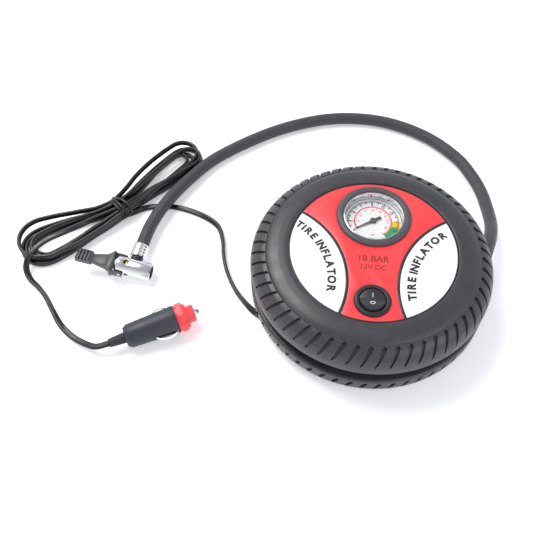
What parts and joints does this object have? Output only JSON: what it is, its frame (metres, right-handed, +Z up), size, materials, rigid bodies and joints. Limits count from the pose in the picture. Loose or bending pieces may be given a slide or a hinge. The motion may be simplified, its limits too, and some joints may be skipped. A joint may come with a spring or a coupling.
{
  "type": "portable tire inflator",
  "caption": "Small wheel-shaped 12 V tire inflator with a dial gauge and rocker switch on top, an air hose with a lever chuck, and a tied power lead with a socket plug.",
  "frame": {"origin": "centre of the round base, on the floor it stands on", "axes": "+Z up through the middle of the top panel; the rocker switch lies towards -Y and the gauge towards +Y; the power lead leaves towards -X and the hose towards +X"},
  "size_m": [0.3491, 0.2491, 0.0542],
  "materials": {
    "housing": "satin charcoal moulding",
    "red_plastic": "satin coral red",
    "white_plastic": "satin white",
    "black_gloss": "semi-gloss black",
    "bright_trim": "bright",
    "clear": "clear polished",
    "dial_print": "printed card, white",
    "pointer_grey": "matt dark grey",
    "black_plastic": "fine matt black",
    "brass": "turned",
    "steel": "bright zinc",
    "magnet": "sintered grey",
    "rotor_core": "varnished laminations and copper",
    "alloy": "die cast",
    "gear_nylon": "natural nylon",
    "rubber": "matt black",
    "air_line": "translucent tube",
    "wire_red": "PVC insulation",
    "hose_braid": "rubber under a fine black braid",
    "chrome": "bright nickel-chrome",
    "lever_grey": "dark grey acetal",
    "cord_pvc": "satin black PVC",
    "ceramic": "glass tube with metal caps"
  },
  "bodies": {
    "inflator": {"upper_housing": "housing", "lower_housing": "housing", "red_panel": "red_plastic", "white_insert_left": "white_plastic", "white_insert_right": "white_plastic", "panel_border": "black_gloss", "gauge_bezel": "black_gloss", "gauge_rim": "bright_trim", "gauge_lens": "clear", "gauge_dial": "dial_print", "gauge_case": "black_plastic", "bourdon_movement": "brass", "switch_body": "black_gloss", "switch_terminals": "brass", "motor_can": "steel", "motor_end_cap": "black_plastic", "motor_magnets": "magnet", "drive_frame": "alloy", "cylinder": "alloy", "cylinder_head": "alloy", "valve_reed": "steel", "outlet_block": "brass", "gauge_tube": "air_line", "wires": "wire_red", "hose_gland": "rubber", "air_hose": "hose_braid", "hose_ferrule": "chrome", "chuck_inlet": "black_plastic", "chuck_barrel": "chrome", "chuck_seal": "rubber", "valve_depressor": "brass", "lever_pin": "steel", "cord_gland": "rubber", "power_lead": "cord_pvc", "cord_hank": "cord_pvc", "cord_tie": "cord_pvc", "plug_lead": "cord_pvc", "plug_strain_relief": "rubber", "plug_barrel": "black_plastic", "plug_collar": "red_plastic", "plug_fuse": "ceramic", "plug_spring": "steel", "housing_screws": "steel", "feet": "rubber"},
    "rocker": {"rocker": "black_gloss"},
    "pointer": {"gauge_pointer": "pointer_grey"},
    "rotor": {"motor_rotor": "rotor_core", "motor_pinion": "brass"},
    "crank": {"crank_gear": "gear_nylon", "crank_pin": "steel"},
    "rod": {"connecting_rod": "alloy"},
    "piston": {"piston": "alloy", "piston_ring": "rubber"},
    "lever": {"chuck_lever": "lever_grey"},
    "plug_tip": {"plug_tip": "steel"},
    "contact_left": {"plug_contact_left": "chrome"},
    "contact_right": {"plug_contact_right": "chrome"}
  },
  "joints": [
    {"name": "rocker_tilt", "type": "hinge", "parent": "inflator", "child": "rocker", "pos_m": [0, -0.0397, 0.049], "axis": [1, 0, 0], "range_deg": [0, 18]},
    {"name": "pointer_sweep", "type": "hinge", "parent": "inflator", "child": "pointer", "pos_m": [0, 0.0263, 0.047], "axis": [0, 0, -1], "range_deg": [0, 270], "stiffness_Nm_per_rad": 0.00002},
    {"name": "crank_turn", "type": "hinge", "parent": "inflator", "child": "crank", "pos_m": [0.0355, 0.0059, 0.0212], "axis": [1, 0, 0], "continuous": true},
    {"name": "motor_turn", "type": "hinge", "parent": "inflator", "child": "rotor", "pos_m": [0, 0.025, 0.0192], "axis": [1, 0, 0], "continuous": true},
    {"name": "rod_swing", "type": "hinge", "parent": "crank", "child": "rod", "pos_m": [0.0355, 0.0059, 0.0247], "axis": [1, 0, 0], "continuous": true},
    {"name": "piston_stroke", "type": "slide", "parent": "inflator", "child": "piston", "axis": [0, -1, 0], "range_m": [-0.0035, 0.0035]},
    {"name": "chuck_lever_lift", "type": "hinge", "parent": "inflator", "child": "lever", "pos_m": [-0.17247, -0.00182, 0.00953], "axis": [0.1045, 0.9945, 0], "range_deg": [0, 90]},
    {"name": "plug_tip_press", "type": "slide", "parent": "inflator", "child": "plug_tip", "axis": [-0.8871, -0.4598, -0.0393], "range_m": [0, 0.0025], "stiffness_N_per_m": 600, "springref_m": -0.001, "deforming": ["plug_spring"]},
    {"name": "contact_left_press", "type": "slide", "parent": "inflator", "child": "contact_left", "axis": [0.4602, -0.8878, 0], "range_m": [0, 0.002], "stiffness_N_per_m": 300, "springref_m": -0.001},
    {"name": "contact_right_press", "type": "slide", "parent": "inflator", "child": "contact_right", "axis": [-0.4602, 0.8878, 0], "range_m": [0, 0.002], "stiffness_N_per_m": 300, "springref_m": -0.001}
  ],
  "couplings": [
    {"joint": "motor_turn", "follows": "crank_turn", "ratio": -3},
    {"joint": "rod_swing", "follows": "crank_turn", "ratio": -1}
  ]
}
